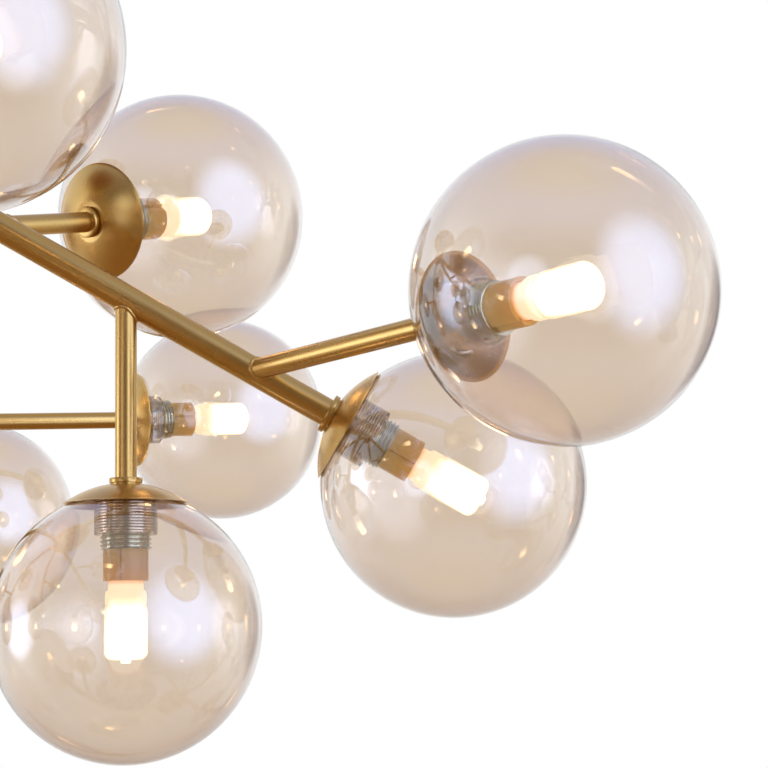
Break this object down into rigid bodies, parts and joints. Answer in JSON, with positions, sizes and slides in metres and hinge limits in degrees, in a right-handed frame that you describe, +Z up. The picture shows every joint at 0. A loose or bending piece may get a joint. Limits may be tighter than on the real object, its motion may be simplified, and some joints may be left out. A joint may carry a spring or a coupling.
{
  "type": "ceiling light",
  "caption": "Branching brass ceiling light: sloping bars radiate from a hub under a dish canopy and carry clear glass globes on domed caps.",
  "frame": {"origin": "middle of the strap screw pattern, on the ceiling", "axes": "+Z up into the ceiling, +X along the first bar seen from below"},
  "size_m": [1.1136, 1.0841, 0.4604],
  "materials": {
    "satin_brass": "satin",
    "globe_glass": "clear, amber lustre",
    "zinc_plate": "zinc plated, threaded",
    "holder_ceramic": "unglazed",
    "frosted_glass": "frosted, lit",
    "lead_sheath": "matte",
    "terminal_plastic": "matte"
  },
  "bodies": {
    "light": {"arm_1_frame": "satin_brass", "arm_1_caps": "satin_brass", "arm_1_lampholders": "holder_ceramic", "arm_1_bulbs": "frosted_glass", "arm_2_frame": "satin_brass", "arm_2_caps": "satin_brass", "arm_2_lampholders": "holder_ceramic", "arm_2_bulbs": "frosted_glass", "arm_3_frame": "satin_brass", "arm_3_caps": "satin_brass", "arm_3_lampholders": "holder_ceramic", "arm_3_bulbs": "frosted_glass", "arm_4_frame": "satin_brass", "arm_4_caps": "satin_brass", "arm_4_lampholders": "holder_ceramic", "arm_4_bulbs": "frosted_glass", "arm_5_frame": "satin_brass", "arm_5_caps": "satin_brass", "arm_5_lampholders": "holder_ceramic", "arm_5_bulbs": "frosted_glass", "end_collars": "satin_brass", "threaded_sleeves": "zinc_plate", "end_nipples": "zinc_plate", "end_nuts": "zinc_plate", "end_spacers": "zinc_plate", "arm_leads": "lead_sheath", "hub_body": "satin_brass", "hub_cover": "satin_brass", "hub_ferrules": "satin_brass", "bar_nuts": "zinc_plate", "ceiling_canopy": "satin_brass", "ceiling_strap": "zinc_plate", "stem_tube": "zinc_plate", "stem_nuts": "zinc_plate", "terminal_block": "terminal_plastic", "supply_lead": "lead_sheath", "hub_connector": "terminal_plastic"},
    "arm_1_globe_away": {"arm_1_globe_away": "globe_glass"},
    "arm_1_globe_down": {"arm_1_globe_down": "globe_glass"},
    "arm_1_globe_near": {"arm_1_globe_near": "globe_glass"},
    "arm_1_globe_end": {"arm_1_globe_end": "globe_glass"},
    "arm_2_globe_away": {"arm_2_globe_away": "globe_glass"},
    "arm_2_globe_down": {"arm_2_globe_down": "globe_glass"},
    "arm_2_globe_near": {"arm_2_globe_near": "globe_glass"},
    "arm_2_globe_end": {"arm_2_globe_end": "globe_glass"},
    "arm_3_globe_away": {"arm_3_globe_away": "globe_glass"},
    "arm_3_globe_down": {"arm_3_globe_down": "globe_glass"},
    "arm_3_globe_near": {"arm_3_globe_near": "globe_glass"},
    "arm_3_globe_end": {"arm_3_globe_end": "globe_glass"},
    "arm_4_globe_away": {"arm_4_globe_away": "globe_glass"},
    "arm_4_globe_down": {"arm_4_globe_down": "globe_glass"},
    "arm_4_globe_near": {"arm_4_globe_near": "globe_glass"},
    "arm_4_globe_end": {"arm_4_globe_end": "globe_glass"},
    "arm_5_globe_away": {"arm_5_globe_away": "globe_glass"},
    "arm_5_globe_down": {"arm_5_globe_down": "globe_glass"},
    "arm_5_globe_near": {"arm_5_globe_near": "globe_glass"},
    "arm_5_globe_end": {"arm_5_globe_end": "globe_glass"}
  },
  "joints": [
    {"name": "arm_1_globe_away_unscrew", "type": "slide", "parent": "light", "child": "arm_1_globe_away", "axis": [0.6823, 0.7006, 0.2088], "range_m": [0, 0.098]},
    {"name": "arm_1_globe_down_unscrew", "type": "slide", "parent": "light", "child": "arm_1_globe_down", "axis": [0.0262, 0, -0.9997], "range_m": [0, 0.098]},
    {"name": "arm_1_globe_near_unscrew", "type": "slide", "parent": "light", "child": "arm_1_globe_near", "axis": [0.6075, -0.7912, 0.071], "range_m": [0, 0.098]},
    {"name": "arm_1_globe_end_unscrew", "type": "slide", "parent": "light", "child": "arm_1_globe_end", "axis": [0.8788, 0, -0.4772], "range_m": [0, 0.098]},
    {"name": "arm_2_globe_away_unscrew", "type": "slide", "parent": "light", "child": "arm_2_globe_away", "axis": [-0.4555, 0.8654, 0.2088], "range_m": [0, 0.098]},
    {"name": "arm_2_globe_down_unscrew", "type": "slide", "parent": "light", "child": "arm_2_globe_down", "axis": [0.0081, 0.0249, -0.9997], "range_m": [0, 0.098]},
    {"name": "arm_2_globe_near_unscrew", "type": "slide", "parent": "light", "child": "arm_2_globe_near", "axis": [0.9402, 0.3333, 0.071], "range_m": [0, 0.098]},
    {"name": "arm_2_globe_end_unscrew", "type": "slide", "parent": "light", "child": "arm_2_globe_end", "axis": [0.2716, 0.8358, -0.4772], "range_m": [0, 0.098]},
    {"name": "arm_3_globe_away_unscrew", "type": "slide", "parent": "light", "child": "arm_3_globe_away", "axis": [-0.9638, -0.1658, 0.2088], "range_m": [0, 0.098]},
    {"name": "arm_3_globe_down_unscrew", "type": "slide", "parent": "light", "child": "arm_3_globe_down", "axis": [-0.0212, 0.0154, -0.9997], "range_m": [0, 0.098]},
    {"name": "arm_3_globe_near_unscrew", "type": "slide", "parent": "light", "child": "arm_3_globe_near", "axis": [-0.0264, 0.9971, 0.071], "range_m": [0, 0.098]},
    {"name": "arm_3_globe_end_unscrew", "type": "slide", "parent": "light", "child": "arm_3_globe_end", "axis": [-0.711, 0.5166, -0.4772], "range_m": [0, 0.098]},
    {"name": "arm_4_globe_away_unscrew", "type": "slide", "parent": "light", "child": "arm_4_globe_away", "axis": [-0.1402, -0.9679, 0.2088], "range_m": [0, 0.098]},
    {"name": "arm_4_globe_down_unscrew", "type": "slide", "parent": "light", "child": "arm_4_globe_down", "axis": [-0.0212, -0.0154, -0.9997], "range_m": [0, 0.098]},
    {"name": "arm_4_globe_near_unscrew", "type": "slide", "parent": "light", "child": "arm_4_globe_near", "axis": [-0.9565, 0.283, 0.071], "range_m": [0, 0.098]},
    {"name": "arm_4_globe_end_unscrew", "type": "slide", "parent": "light", "child": "arm_4_globe_end", "axis": [-0.711, -0.5166, -0.4772], "range_m": [0, 0.098]},
    {"name": "arm_5_globe_away_unscrew", "type": "slide", "parent": "light", "child": "arm_5_globe_away", "axis": [0.8772, -0.4324, 0.2088], "range_m": [0, 0.098]},
    {"name": "arm_5_globe_down_unscrew", "type": "slide", "parent": "light", "child": "arm_5_globe_down", "axis": [0.0081, -0.0249, -0.9997], "range_m": [0, 0.098]},
    {"name": "arm_5_globe_near_unscrew", "type": "slide", "parent": "light", "child": "arm_5_globe_near", "axis": [-0.5647, -0.8222, 0.071], "range_m": [0, 0.098]},
    {"name": "arm_5_globe_end_unscrew", "type": "slide", "parent": "light", "child": "arm_5_globe_end", "axis": [0.2716, -0.8358, -0.4772], "range_m": [0, 0.098]}
  ]
}
